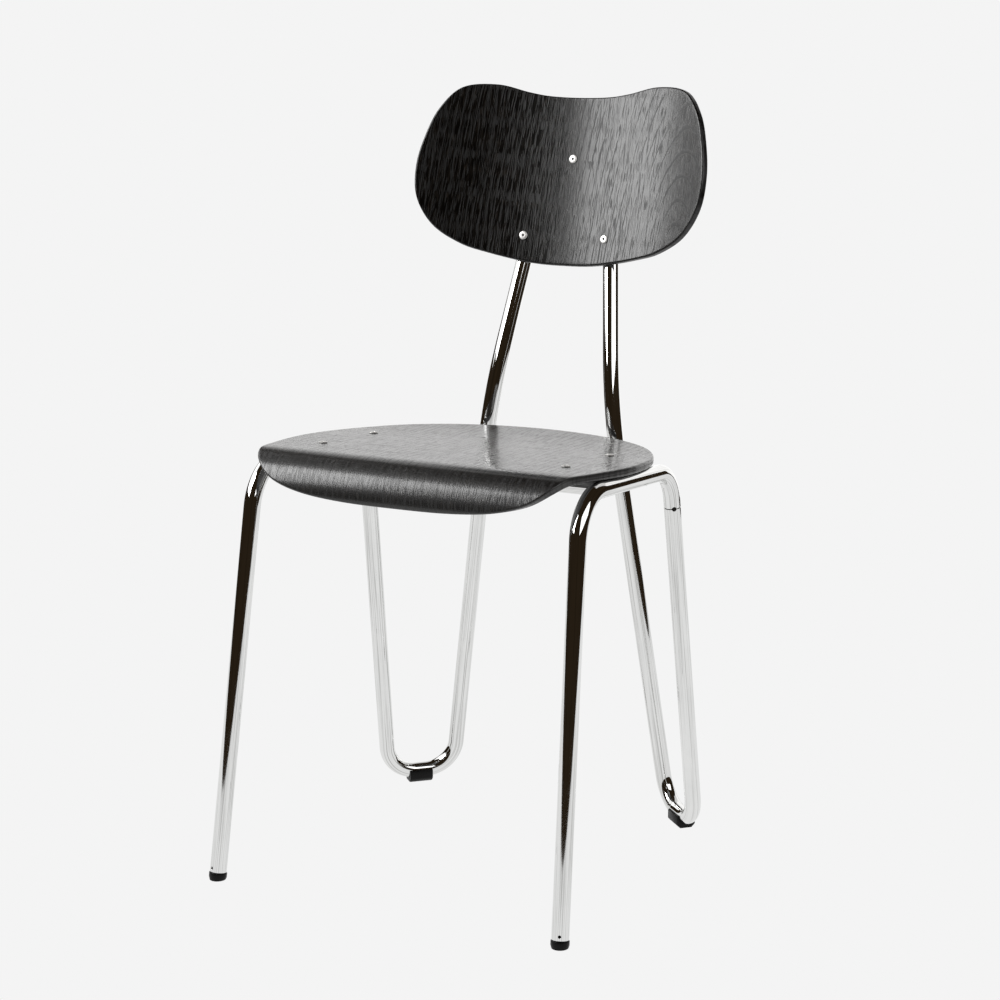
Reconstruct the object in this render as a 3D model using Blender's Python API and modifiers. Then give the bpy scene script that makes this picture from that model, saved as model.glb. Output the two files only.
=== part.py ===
"""Stacking chair: chromed tube frame, moulded plywood seat and backrest, blind rivets and plastic feet.

Metres, +Z up. The chair faces -Y and is symmetric about X = 0. The origin is on the floor, under the
middle of the chair's box. Two side tubes each make a front leg, a seat rail and a short rear stub. One
long loop tube plugs on below the stubs and makes both rear hairpin legs, the uprights and the arch that
carries the backrest. Two cross tubes join the rails and carry the seat.
"""

import math

import bmesh
import bpy
import numpy as np
from mathutils import Matrix, Vector

# Frame tube
TUBE_RADIUS = 0.009
TUBE_WALL = 0.002
TUBE_SIDES = 12
GAP = 0.0003
BEND_STEP = math.radians(10)
# A plug has to clear the flats of the tube's faceted bore
PLUG_RADIUS = TUBE_RADIUS * math.cos(math.pi / TUBE_SIDES) - TUBE_WALL - GAP

# Frame corners on the right side: the points where the straight runs would meet without their bends
FRONT_FOOT = Vector((0.2031, -0.2311, 0.0))
RAIL_FRONT = Vector((0.1883, -0.1608, 0.4433))
RAIL_REAR = Vector((0.1878, 0.0640, 0.4289))
HAIRPIN_OUTER = Vector((0.1979, 0.1268, 0.0130))
HAIRPIN_INNER = Vector((0.1402, 0.1833, 0.0130))
UPRIGHT_BEND = Vector((0.0761, 0.1561, 0.4709))
ARCH_CORNER = Vector((0.0, 0.3101, 1.0196))

# Centreline bend radii
FRONT_BEND = 0.052
REAR_BEND = 0.040
HAIRPIN_BEND = 0.036
UPRIGHT_BEND_RADIUS = 0.400
ARCH_BEND = 0.0445

# Plug-in joint between a side tube and the loop tube
JOINT_Z = 0.3876
SLEEVE_UP = 0.010
SLEEVE_DOWN = 0.036
SLEEVE_WALL = 0.002
PIN_RADIUS = 0.0022
PIN_AZIMUTH = math.radians(36)

# Feet
TUBE_END_Z = 0.0078
CAP_RADIUS = 0.0096
CAP_STEM = 0.022
DRAIN_RADIUS = 0.0017
DRAIN_UP_LEG = 0.0125
DRAIN_AZIMUTH = math.radians(20)
GLIDE_LENGTH = 0.028
GLIDE_SHIFT = 0.0025  # from the hairpin's middle towards its outer leg
GLIDE_HALF_WIDTH = 0.0112
GLIDE_HALF_BASE = 0.0075
GLIDE_TOP = 0.0150

# Cross tubes and the rivets that hold the seat on them
CROSS_Y = {"front": -0.1003, "rear": 0.0058}
SEAT_RIVET_X = 0.1434

# Seat: plywood, pressed to a slightly dished top with a rolled front edge
SEAT_THICKNESS = 0.0085
ROLL_START_Y = -0.1603
ROLL_RADIUS = 0.040
DISH_START = 0.170
DISH_RADIUS = 1.35
# Half outline as (x, distance back from the start of the roll), front centre to rear centre
SEAT_OUTLINE = (
    (0.000, -0.0655), (0.060, -0.0645), (0.110, -0.0595), (0.146, -0.0490), (0.167, -0.0320),
    (0.179, -0.0100), (0.1870, 0.0250), (0.1945, 0.0700), (0.1970, 0.1100), (0.1920, 0.1600),
    (0.1780, 0.2020), (0.1520, 0.2400), (0.1120, 0.2680), (0.0600, 0.2850), (0.000, 0.2910),
)

# Backrest: plywood, pressed to a cylinder that is hollow towards the sitter
BACK_THICKNESS = 0.0078
BACK_FRONT_RADIUS = 0.375
BACK_TILT = math.radians(13.9)
LOWER_RIVET_Z = 0.6526
LOWER_RIVET_SPREAD = 0.0018  # outwards from each upright's middle
# Half outline as (arc across, height above the lower rivets), bottom centre to top centre
BACK_OUTLINE = (
    (0.000, -0.0314), (0.042, -0.0299), (0.093, -0.0220), (0.126, -0.0140), (0.159, 0.0040),
    (0.180, 0.0340), (0.184, 0.0700), (0.177, 0.1060), (0.164, 0.1385), (0.140, 0.1642),
    (0.100, 0.1703), (0.063, 0.1638), (0.037, 0.1604), (0.000, 0.1594),
)

# Plywood meshes
SHELL_CELLS = 16
EDGE_CHAMFER = 0.0012

# Blind rivets
RIVET_HEAD_RADIUS = 0.0048
RIVET_HEAD_HEIGHT = 0.0013
RIVET_SHANK_RADIUS = 0.0022
RIVET_HOLE_RADIUS = 0.0026
RIVET_TAIL_RADIUS = 0.0034
RIVET_SPARE = 0.0020  # the shank's length behind the tube wall, before the tail
MANDREL_BORE_RADIUS = 0.0013
MANDREL_RADIUS = 0.0010
MANDREL_BALL_RADIUS = 0.0021
RIVET_SIDES = 12

# Name: base colour, roughness, metallic
MATERIALS = {
    "chrome": ((0.80, 0.81, 0.82), 0.06, 1.0),
    "black_ply": ((0.014, 0.013, 0.012), 0.45, 0.0),
    "black_plastic": ((0.012, 0.012, 0.012), 0.5, 0.0),
    "rivet_steel": ((0.66, 0.65, 0.62), 0.25, 1.0),
    "dark_steel": ((0.10, 0.10, 0.10), 0.4, 1.0),
}


def clear_scene():
    for obj in list(bpy.data.objects):
        bpy.data.objects.remove(obj, do_unlink=True)


def new_collection(name):
    collection = bpy.data.collections.new(name)
    bpy.context.scene.collection.children.link(collection)
    return collection


def make_materials():
    made = {}
    for name, (colour, roughness, metallic) in MATERIALS.items():
        material = bpy.data.materials.new(name)
        material.use_nodes = True
        shader = material.node_tree.nodes["Principled BSDF"]
        shader.inputs["Base Color"].default_value = (*colour, 1.0)
        shader.inputs["Roughness"].default_value = roughness
        shader.inputs["Metallic"].default_value = metallic
        made[name] = material
    return made


clear_scene()
CHAIR = new_collection("stacking_chair")
CUTTERS = new_collection("cutters")
MATERIAL = make_materials()
ORIGIN = bpy.data.objects.new("chair_origin", None)
CHAIR.objects.link(ORIGIN)


def side_of(point, side):
    """The right side's point, or its mirror image for side -1."""
    return Vector((side * point.x, point.y, point.z))


def add_part(name, mesh, material, matrix=None):
    obj = bpy.data.objects.new(name, mesh)
    CHAIR.objects.link(obj)
    obj.parent = ORIGIN
    if matrix is not None:
        obj.matrix_world = matrix
    mesh.materials.clear()
    mesh.materials.append(MATERIAL[material])
    return obj


def add_cutter(name, mesh, matrix=None):
    obj = bpy.data.objects.new(name, mesh)
    CUTTERS.objects.link(obj)
    if matrix is not None:
        obj.matrix_world = matrix
    obj.hide_render = True
    obj.display_type = "WIRE"
    return obj


def cut(obj, cutter):
    boolean = obj.modifiers.new(f"cut_{cutter.name}"[:60], "BOOLEAN")
    boolean.operation = "DIFFERENCE"
    boolean.object = cutter
    boolean.solver = "EXACT"


def frame_along(origin, direction, near=Vector((0.0, 0.0, 1.0))):
    """A matrix at origin whose Z axis runs along direction, with Y as close as it can be to near."""
    z_axis = direction.normalized()
    y_axis = near - z_axis * near.dot(z_axis)
    if y_axis.length < 1e-6:
        y_axis = Vector((0.0, 1.0, 0.0)) - z_axis * z_axis.y
    y_axis.normalize()
    x_axis = y_axis.cross(z_axis)
    rotation = Matrix((x_axis, y_axis, z_axis)).transposed()
    return Matrix.Translation(origin) @ rotation.to_4x4()


def rounded_path(corners, radii):
    """Points along straight runs between the corners, with an arc of the given radius at each inner one."""
    points = [corners[0].copy()]
    for before, corner, after, radius in zip(corners, corners[1:], corners[2:], radii):
        back = (before - corner).normalized()
        ahead = (after - corner).normalized()
        half = back.angle(ahead) / 2
        centre = corner + (back + ahead).normalized() * radius / math.sin(half)
        start = (corner + back * radius / math.tan(half) - centre).normalized()
        turn = math.pi - 2 * half
        steps = max(2, math.ceil(turn / BEND_STEP))
        for k in range(steps + 1):
            angle = turn * k / steps
            points.append(centre + radius * (math.cos(angle) * start - math.sin(angle) * back))
    points.append(corners[-1].copy())
    return points


def swept_mesh(name, path, radius, capped):
    """A round tube surface along a path, made by a bevelled curve and kept as a mesh."""
    curve = bpy.data.curves.new(name, "CURVE")
    curve.dimensions = "3D"
    curve.bevel_depth = radius
    curve.bevel_resolution = TUBE_SIDES // 2 - 2
    curve.use_fill_caps = capped
    spline = curve.splines.new("POLY")
    spline.points.add(len(path) - 1)
    for point, place in zip(spline.points, path):
        point.co = (*place, 1.0)
    guide = bpy.data.objects.new(name + "_curve", curve)
    CUTTERS.objects.link(guide)
    evaluated = guide.evaluated_get(bpy.context.evaluated_depsgraph_get())
    mesh = bpy.data.meshes.new_from_object(evaluated)
    bpy.data.objects.remove(guide, do_unlink=True)
    bm = bmesh.new()
    bm.from_mesh(mesh)
    bmesh.ops.remove_doubles(bm, verts=bm.verts, dist=1e-5)
    if capped:
        bmesh.ops.recalc_face_normals(bm, faces=bm.faces)
    bm.to_mesh(mesh)
    bm.free()
    mesh.shade_smooth()
    return mesh


def add_tube(name, path, material, radius=TUBE_RADIUS, wall=TUBE_WALL):
    """A hollow tube, open at both ends."""
    obj = add_part(name, swept_mesh(name, path, radius, capped=False), material)
    solidify = obj.modifiers.new("wall", "SOLIDIFY")
    solidify.thickness = wall
    solidify.offset = -1.0
    solidify.use_even_offset = True
    return obj


def cylinder_mesh(name, radius, low, high, sides=24):
    bm = bmesh.new()
    middle = Matrix.Translation((0.0, 0.0, (low + high) / 2))
    bmesh.ops.create_cone(
        bm, cap_ends=True, segments=sides, radius1=radius, radius2=radius, depth=high - low, matrix=middle
    )
    mesh = bpy.data.meshes.new(name)
    bm.to_mesh(mesh)
    bm.free()
    return mesh


def add_turned(name, profile, material, matrix, closed, sides=RIVET_SIDES):
    """A turned piece: a profile of (radius, height) points, outer side from top to bottom, spun about Z."""
    mesh = bpy.data.meshes.new(name)
    edges = [(i, i + 1) for i in range(len(profile) - 1)]
    if closed:
        edges.append((len(profile) - 1, 0))
    mesh.from_pydata([(radius, 0.0, height) for radius, height in profile], edges, [])
    obj = add_part(name, mesh, material, matrix)
    screw = obj.modifiers.new("turn", "SCREW")
    screw.steps = sides
    screw.render_steps = sides
    screw.use_merge_vertices = True
    screw.merge_threshold = 0.00001
    screw.use_smooth_shade = True
    return obj


# Frame

RAIL_DIRECTION = (RAIL_REAR - RAIL_FRONT).normalized()
SLOPE = math.atan2(-RAIL_DIRECTION.z, RAIL_DIRECTION.y)
SEAT_BACKWARD = Vector((0.0, math.cos(SLOPE), -math.sin(SLOPE)))
SEAT_UP = Vector((0.0, math.sin(SLOPE), math.cos(SLOPE)))


def point_at_height(low, high, z):
    return low + (high - low) * (z - low.z) / (high.z - low.z)


def joint_point(side):
    return side_of(point_at_height(HAIRPIN_OUTER, RAIL_REAR, JOINT_Z), side)


def joint_up(side):
    return (side_of(RAIL_REAR, side) - side_of(HAIRPIN_OUTER, side)).normalized()


def side_path(side):
    front = point_at_height(FRONT_FOOT, RAIL_FRONT, TUBE_END_Z)
    corners = [side_of(p, side) for p in (front, RAIL_FRONT, RAIL_REAR)]
    corners.append(joint_point(side) + joint_up(side) * GAP / 2)
    return rounded_path(corners, (FRONT_BEND, REAR_BEND))


def loop_path():
    right = [joint_point(1) - joint_up(1) * GAP / 2, HAIRPIN_OUTER, HAIRPIN_INNER, UPRIGHT_BEND]
    left = [side_of(p, -1) for p in reversed(right)]
    bends = (HAIRPIN_BEND, HAIRPIN_BEND, UPRIGHT_BEND_RADIUS)
    return rounded_path([*right, ARCH_CORNER, *left], (*bends, ARCH_BEND, *reversed(bends)))


def arch_top():
    """The highest point of the arch's centreline."""
    rise = (ARCH_CORNER - UPRIGHT_BEND).normalized()
    middle = Vector((0.0, rise.y, rise.z))
    half = rise.angle(middle)
    return ARCH_CORNER - middle.normalized() * ARCH_BEND * (1 / math.sin(half) - 1)


def rail_centre(y):
    """The point of X = 0 in the plane of the rails' centrelines."""
    along = (y - RAIL_FRONT.y) / SEAT_BACKWARD.y
    return Vector((0.0, RAIL_FRONT.y, RAIL_FRONT.z)) + SEAT_BACKWARD * along


def pin_direction(side):
    outward = Vector((side * math.sin(PIN_AZIMUTH), -math.cos(PIN_AZIMUTH), 0.0))
    up = joint_up(side)
    return (outward - up * outward.dot(up)).normalized()


def make_side_tube(side, word):
    obj = add_tube(f"side_tube_{word}", side_path(side), "chrome")
    leg = (side_of(RAIL_FRONT, side) - side_of(FRONT_FOOT, side)).normalized()
    outward = Vector((side * math.sin(DRAIN_AZIMUTH), -math.cos(DRAIN_AZIMUTH), 0.0))
    outward = (outward - leg * outward.dot(leg)).normalized()
    place = side_of(FRONT_FOOT, side) + leg * DRAIN_UP_LEG
    mesh = cylinder_mesh("drain", DRAIN_RADIUS, TUBE_RADIUS / 2, 2 * TUBE_RADIUS, 12)
    cut(obj, add_cutter(f"drain_cutter_{word}", mesh, frame_along(place, outward)))
    return obj


def make_joint(side, word, side_tube, loop_tube):
    """The sleeve inside both tubes, and the pin that sits in a notch across the seam."""
    place = joint_point(side)
    up = joint_up(side)
    ends = [place - up * SLEEVE_DOWN, place + up * SLEEVE_UP]
    sleeve = add_tube(f"joint_sleeve_{word}", ends, "rivet_steel", PLUG_RADIUS, SLEEVE_WALL)
    matrix = frame_along(place, pin_direction(side), up)
    low = PLUG_RADIUS - SLEEVE_WALL
    high = TUBE_RADIUS + GAP / 2
    mesh = cylinder_mesh("pin_hole", PIN_RADIUS + GAP, low / 2, 2 * TUBE_RADIUS, 16)
    cutter = add_cutter(f"joint_pin_cutter_{word}", mesh, matrix)
    for obj in (side_tube, loop_tube, sleeve):
        cut(obj, cutter)
    bevel = high - 0.0004
    profile = [(0.0, high), (PIN_RADIUS - 0.0004, high), (PIN_RADIUS, bevel), (PIN_RADIUS, low), (0.0, low)]
    add_turned(f"joint_pin_{word}", profile, "dark_steel", matrix, closed=False, sides=12)


def make_cross_tube(word, y):
    centre = rail_centre(y)
    ends = [centre - Vector((RAIL_FRONT.x, 0, 0)), centre + Vector((RAIL_FRONT.x, 0, 0))]
    obj = add_tube(f"cross_tube_{word}", ends, "chrome")
    for side, name in SIDES:
        front = side_of(RAIL_FRONT, side)
        rear = side_of(RAIL_REAR, side)
        mesh = cylinder_mesh("rail", TUBE_RADIUS + GAP, 0.0, (rear - front).length, 32)
        cut(obj, add_cutter(f"rail_cutter_{word}_{name}", mesh, frame_along(front, rear - front)))
    return obj


# Plywood shells


def smooth_outline(half, per_span=12):
    """A closed Catmull-Rom curve through a half outline and its mirror image."""
    points = [*half, *[(-x, y) for x, y in reversed(half[1:-1])]]
    count = len(points)
    curve = []
    for i in range(count):
        p0, p1, p2, p3 = (np.array(points[(i + k) % count]) for k in (-1, 0, 1, 2))
        for t in np.arange(per_span) / per_span:
            bend = 2 * p0 - 5 * p1 + 4 * p2 - p3
            twist = 3 * p1 - p0 - 3 * p2 + p3
            curve.append(0.5 * (2 * p1 + (p2 - p0) * t + bend * t * t + twist * t**3))
    return np.array(curve)


def outline_grid(half):
    """A square grid, pressed round to fill a smooth outline, as a bmesh in the outline's plane."""
    curve = smooth_outline(half)
    centre = np.array((0.0, (half[0][1] + half[-1][1]) / 2))
    offsets = curve - centre
    angles = np.arctan2(offsets[:, 1], offsets[:, 0])
    reach = np.hypot(offsets[:, 0], offsets[:, 1])
    order = np.argsort(angles)
    bm = bmesh.new()
    bmesh.ops.create_grid(bm, x_segments=SHELL_CELLS, y_segments=SHELL_CELLS, size=1.0)
    for vertex in bm.verts:
        u, v = vertex.co.x, vertex.co.y
        across = u * math.sqrt(1 - v * v / 2)
        along = v * math.sqrt(1 - u * u / 2)
        angle = math.atan2(along, across)
        edge = np.interp(angle, angles[order], reach[order], period=2 * math.pi)
        vertex.co = (centre[0] + across * edge, centre[1] + along * edge, 0.0)
    return bm


def add_shell(name, half, place, thickness):
    """A pressed sheet: the outline is bent by place(across, along), then given its thickness."""
    bm = outline_grid(half)
    for vertex in bm.verts:
        vertex.co = place(vertex.co.x, vertex.co.y)
    mesh = bpy.data.meshes.new(name)
    bm.to_mesh(mesh)
    bm.free()
    mesh.shade_smooth()
    obj = add_part(name, mesh, "black_ply")
    solidify = obj.modifiers.new("plywood", "SOLIDIFY")
    solidify.thickness = thickness
    solidify.offset = -1.0
    solidify.use_even_offset = True
    bevel = obj.modifiers.new("eased_edge", "BEVEL")
    bevel.width = EDGE_CHAMFER
    bevel.segments = 1
    bevel.limit_method = "ANGLE"
    bevel.angle_limit = math.radians(50)
    return obj


def roll_start():
    """The point of the seat's top face, on X = 0, where the front roll begins."""
    return rail_centre(ROLL_START_Y) + SEAT_UP * (TUBE_RADIUS + GAP + SEAT_THICKNESS)


def seat_point(across, along):
    """A point of the seat's top face from its flat layout."""
    start = roll_start()
    if along < 0:
        angle = -along / ROLL_RADIUS
        centre = start - SEAT_UP * ROLL_RADIUS
        offset = (SEAT_UP * math.cos(angle) - SEAT_BACKWARD * math.sin(angle)) * ROLL_RADIUS
        point = centre + offset
    else:
        rise = max(0.0, along - DISH_START) ** 2 / (2 * DISH_RADIUS)
        point = start + SEAT_BACKWARD * along + SEAT_UP * rise
    return Vector((across, point.y, point.z))


BACK_UPWARD = Vector((0.0, math.sin(BACK_TILT), math.cos(BACK_TILT)))
BACK_FORWARD = Vector((0.0, -math.cos(BACK_TILT), math.sin(BACK_TILT)))
BACK_TOP_RIVET = arch_top() + BACK_FORWARD * (TUBE_RADIUS + GAP + BACK_THICKNESS)


def lower_rivet_height():
    """How far the top rivet is above the lower ones, along the backrest."""
    foot = point_at_height(UPRIGHT_BEND, ARCH_CORNER, LOWER_RIVET_Z)
    return (arch_top() - foot).dot(BACK_UPWARD)


def back_point(across, along):
    """A point of the backrest's front face from its flat layout."""
    angle = across / BACK_FRONT_RADIUS
    base = BACK_TOP_RIVET + BACK_UPWARD * (along - lower_rivet_height())
    forward = BACK_FORWARD * BACK_FRONT_RADIUS * (1 - math.cos(angle))
    return base + forward + Vector((BACK_FRONT_RADIUS * math.sin(angle), 0.0, 0.0))


def back_normal(across):
    angle = across / BACK_FRONT_RADIUS
    return BACK_FORWARD * math.cos(angle) - Vector((math.sin(angle), 0.0, 0.0))


# Rivets


def make_rivet(name, place, outward, thickness, plate, tube):
    """A blind rivet through a plywood shell into a tube wall, with its mandrel, and their holes."""
    matrix = frame_along(place, outward)
    grip = thickness + GAP + TUBE_WALL + RIVET_SPARE
    tail = grip + 0.0034
    mesh = cylinder_mesh("rivet_hole", RIVET_HOLE_RADIUS, -thickness - TUBE_RADIUS, TUBE_RADIUS, 16)
    cutter = add_cutter(f"{name}_cutter", mesh, matrix)
    cut(plate, cutter)
    cut(tube, cutter)
    rise = RIVET_HEAD_HEIGHT
    profile = [
        (MANDREL_BORE_RADIUS, GAP + rise),
        (RIVET_HEAD_RADIUS * 0.55, GAP + rise * 0.95),
        (RIVET_HEAD_RADIUS * 0.85, GAP + rise * 0.6),
        (RIVET_HEAD_RADIUS, GAP + rise * 0.15),
        (RIVET_HEAD_RADIUS, GAP),
        (RIVET_SHANK_RADIUS, GAP),
        (RIVET_SHANK_RADIUS, -grip),
        (RIVET_TAIL_RADIUS, -grip - 0.0010),
        (RIVET_TAIL_RADIUS, -grip - 0.0024),
        (RIVET_SHANK_RADIUS, -tail),
        (MANDREL_BORE_RADIUS, -tail),
    ]
    add_turned(name, profile, "rivet_steel", matrix, closed=True)
    ball = MANDREL_BALL_RADIUS
    top = GAP + rise * 0.55
    below = -tail - GAP
    stem = [
        (0.0, top),
        (MANDREL_RADIUS, top),
        (MANDREL_RADIUS, below),
        (ball, below),
        (ball * 0.8, below - 0.0010),
        (0.0, below - 0.0014),
    ]
    add_turned(f"{name}_mandrel", stem, "dark_steel", matrix, closed=False, sides=12)


# Feet


def make_front_cap(side, word):
    """A plug in the front leg's end, with its flange cut level with the floor."""
    leg = (side_of(RAIL_FRONT, side) - side_of(FRONT_FOOT, side)).normalized()
    end = side_of(point_at_height(FRONT_FOOT, RAIL_FRONT, TUBE_END_Z), side) - leg * GAP
    low = -0.012
    profile = [
        (0.0, CAP_STEM),
        (PLUG_RADIUS - 0.001, CAP_STEM),
        (PLUG_RADIUS, CAP_STEM - 0.002),
        (PLUG_RADIUS, 0.0),
        (CAP_RADIUS - 0.0006, 0.0),
        (CAP_RADIUS, -0.0006),
        (CAP_RADIUS, -0.0048),
        (CAP_RADIUS - 0.0022, low),
        (0.0, low),
    ]
    obj = add_turned(f"front_foot_cap_{word}", profile, "black_plastic", frame_along(end, leg), False, 24)
    bm = bmesh.new()
    floor = Matrix.Translation((side * FRONT_FOOT.x, FRONT_FOOT.y, -0.02)) @ Matrix.Scale(0.04, 4)
    bmesh.ops.create_cube(bm, size=1.0, matrix=floor)
    mesh = bpy.data.meshes.new("floor")
    bm.to_mesh(mesh)
    bm.free()
    cut(obj, add_cutter(f"floor_cutter_{word}", mesh))


def make_rear_glide(side, word):
    """A clip under the bottom of a hairpin, with a flat pad and two lips that hug the tube."""
    outer = side_of(HAIRPIN_OUTER, side)
    inner = side_of(HAIRPIN_INNER, side)
    along = (inner - outer).normalized()
    middle = (outer + inner) / 2 - along * GLIDE_SHIFT
    section = [
        (-GLIDE_HALF_BASE, 0.0),
        (GLIDE_HALF_BASE, 0.0),
        (GLIDE_HALF_WIDTH, 0.0042),
        (GLIDE_HALF_WIDTH, GLIDE_TOP - 0.0015),
        (GLIDE_HALF_WIDTH - 0.0010, GLIDE_TOP),
        (-GLIDE_HALF_WIDTH + 0.0010, GLIDE_TOP),
        (-GLIDE_HALF_WIDTH, GLIDE_TOP - 0.0015),
        (-GLIDE_HALF_WIDTH, 0.0042),
    ]
    bm = bmesh.new()
    face = bm.faces.new([bm.verts.new((x, z, -GLIDE_LENGTH / 2)) for x, z in section])
    grown = bmesh.ops.extrude_face_region(bm, geom=[face])["geom"]
    tops = [item for item in grown if isinstance(item, bmesh.types.BMVert)]
    bmesh.ops.translate(bm, verts=tops, vec=(0.0, 0.0, GLIDE_LENGTH))
    bmesh.ops.recalc_face_normals(bm, faces=bm.faces)
    mesh = bpy.data.meshes.new("glide")
    bm.to_mesh(mesh)
    bm.free()
    matrix = frame_along(Vector((middle.x, middle.y, 0.0)), along)
    obj = add_part(f"rear_glide_{word}", mesh, "black_plastic", matrix)
    ends = [point_at_height(HAIRPIN_OUTER, RAIL_REAR, 0.06), HAIRPIN_OUTER]
    ends += [HAIRPIN_INNER, point_at_height(HAIRPIN_INNER, UPRIGHT_BEND, 0.06)]
    bends = (HAIRPIN_BEND, HAIRPIN_BEND)
    path = rounded_path([side_of(p, side) for p in ends], bends)
    tube = swept_mesh("hairpin", path, TUBE_RADIUS + GAP, capped=True)
    cut(obj, add_cutter(f"glide_cutter_{word}", tube))


SIDES = ((1, "right"), (-1, "left"))


def build_chair():
    loop_tube = add_tube("back_loop_tube", loop_path(), "chrome")
    for side, word in SIDES:
        side_tube = make_side_tube(side, word)
        make_joint(side, word, side_tube, loop_tube)
        make_front_cap(side, word)
        make_rear_glide(side, word)
    seat = add_shell("seat_shell", SEAT_OUTLINE, seat_point, SEAT_THICKNESS)
    for where, y in CROSS_Y.items():
        tube = make_cross_tube(where, y)
        top = rail_centre(y) + SEAT_UP * (TUBE_RADIUS + GAP + SEAT_THICKNESS)
        for side, word in SIDES:
            place = Vector((side * SEAT_RIVET_X, top.y, top.z))
            make_rivet(f"seat_rivet_{where}_{word}", place, SEAT_UP, SEAT_THICKNESS, seat, tube)
    back = add_shell("backrest_shell", BACK_OUTLINE, back_point, BACK_THICKNESS)
    make_rivet("back_rivet_top", BACK_TOP_RIVET, BACK_FORWARD, BACK_THICKNESS, back, loop_tube)
    foot = point_at_height(UPRIGHT_BEND, ARCH_CORNER, LOWER_RIVET_Z)
    for side, word in SIDES:
        ratio = BACK_FRONT_RADIUS / (BACK_FRONT_RADIUS + BACK_THICKNESS + TUBE_RADIUS)
        across = side * (foot.x * ratio + LOWER_RIVET_SPREAD)
        place = back_point(across, 0.0)
        name = f"back_rivet_{word}"
        make_rivet(name, place, back_normal(across), BACK_THICKNESS, back, loop_tube)


build_chair()
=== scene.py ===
"""Looks of the stacking chair: fine chromed tubes, pressed black plywood shells, rivets, feet, and a studio.

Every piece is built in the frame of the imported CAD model, in metres, +Z up, with the chair's front
towards -Y. The tubes, shells and small parts follow the CAD model's driving dimensions below, and the
lowest and highest points that the frame gives anchor them.
"""

import math

import bmesh
import bpy
import numpy as np
from mathutils import Matrix, Vector
from mathutils.bvhtree import BVHTree
from mathutils.interpolate import poly_3d_calc
from mathutils.kdtree import KDTree


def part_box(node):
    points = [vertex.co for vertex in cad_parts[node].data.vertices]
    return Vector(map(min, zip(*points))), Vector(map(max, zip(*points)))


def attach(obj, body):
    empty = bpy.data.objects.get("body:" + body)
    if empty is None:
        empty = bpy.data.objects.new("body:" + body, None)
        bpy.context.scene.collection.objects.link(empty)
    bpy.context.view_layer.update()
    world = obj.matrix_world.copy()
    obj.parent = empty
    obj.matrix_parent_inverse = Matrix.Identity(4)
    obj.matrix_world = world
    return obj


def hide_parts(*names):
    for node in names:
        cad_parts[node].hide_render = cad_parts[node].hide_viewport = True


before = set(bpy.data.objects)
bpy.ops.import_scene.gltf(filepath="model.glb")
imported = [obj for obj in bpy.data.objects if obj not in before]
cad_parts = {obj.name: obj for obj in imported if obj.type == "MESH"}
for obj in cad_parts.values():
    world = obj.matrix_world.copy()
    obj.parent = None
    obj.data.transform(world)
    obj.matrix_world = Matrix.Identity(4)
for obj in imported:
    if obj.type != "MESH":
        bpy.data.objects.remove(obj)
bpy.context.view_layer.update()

# Frame tube, in the same driving dimensions as the CAD model
TUBE_RADIUS = 0.009
TUBE_WALL = 0.002
GAP = 0.0003
CAP_LOW, CAP_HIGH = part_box("front_foot_cap_right")
CAP_LEAN_SHIFT = 0.00015
FRONT_FOOT = Vector(((CAP_LOW.x + CAP_HIGH.x) / 2 + CAP_LEAN_SHIFT, -0.2311, 0.0))
RAIL_FRONT = Vector((0.1883, -0.1608, 0.4433))
RAIL_REAR = Vector((0.1878, 0.0640, 0.4289))
HAIRPIN_OUTER = Vector((0.1979, 0.1268, 0.0130))
HAIRPIN_INNER = Vector((0.1402, 0.1833, 0.0130))
UPRIGHT_BEND = Vector((0.0761, 0.1561, 0.4709))
ARCH_CORNER = Vector((0.0, 0.3101, 1.0196))
FRONT_BEND = 0.052
REAR_BEND = 0.040
HAIRPIN_BEND = 0.036
UPRIGHT_BEND_RADIUS = 0.400
ARCH_BEND = 0.0445
JOINT_Z = 0.3876
PIN_RADIUS = 0.0022
PIN_AZIMUTH = math.radians(36)
PIN_ROUNDING = 0.0004
PIN_DEPTH = 0.004
CROSS_Y = {"front": -0.1003, "rear": 0.0058}
WELD_BEAD = 0.0016
WELD_RIPPLE = 0.10
WELD_RIPPLES = 34

# Feet
TUBE_END_Z = 0.0078
CAP_RADIUS = 0.0096
CAP_STEM = 0.022
STEM_ROUNDING = 0.001
CAP_ROUNDING = 0.0008
CAP_FLANGE = 0.0048
CAP_TAPER = 0.0022
CAP_SKIRT = 0.012
DRAIN_RADIUS = 0.0017
DRAIN_UP_LEG = 0.0125
DRAIN_AZIMUTH = math.radians(20)
GLIDE_LENGTH = 0.028
GLIDE_SHIFT = 0.0025
GLIDE_HALF_WIDTH = 0.0112
GLIDE_HALF_BASE = 0.0075
GLIDE_TOP = 0.0150
GLIDE_SHOULDER = 0.0052
GLIDE_CHAMFER = 0.0006
GLIDE_REACH_Z = 0.06

# Seat shell
SEAT_RIVET_X = 0.1434
SEAT_THICKNESS = 0.0085
ROLL_START_Y = -0.1603
ROLL_RADIUS = 0.0385
ROLL_EASE = 0.018
DISH_START = 0.170
DISH_RADIUS = 1.35
SEAT_OUTLINE = (
    (0.000, -0.0670), (0.060, -0.0660), (0.110, -0.0608), (0.146, -0.0497), (0.167, -0.0320),
    (0.179, -0.0100), (0.1870, 0.0250), (0.1945, 0.0700), (0.1970, 0.1100), (0.1920, 0.1600),
    (0.1780, 0.2020), (0.1520, 0.2400), (0.1120, 0.2680), (0.0600, 0.2850), (0.000, 0.2910),
)

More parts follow.
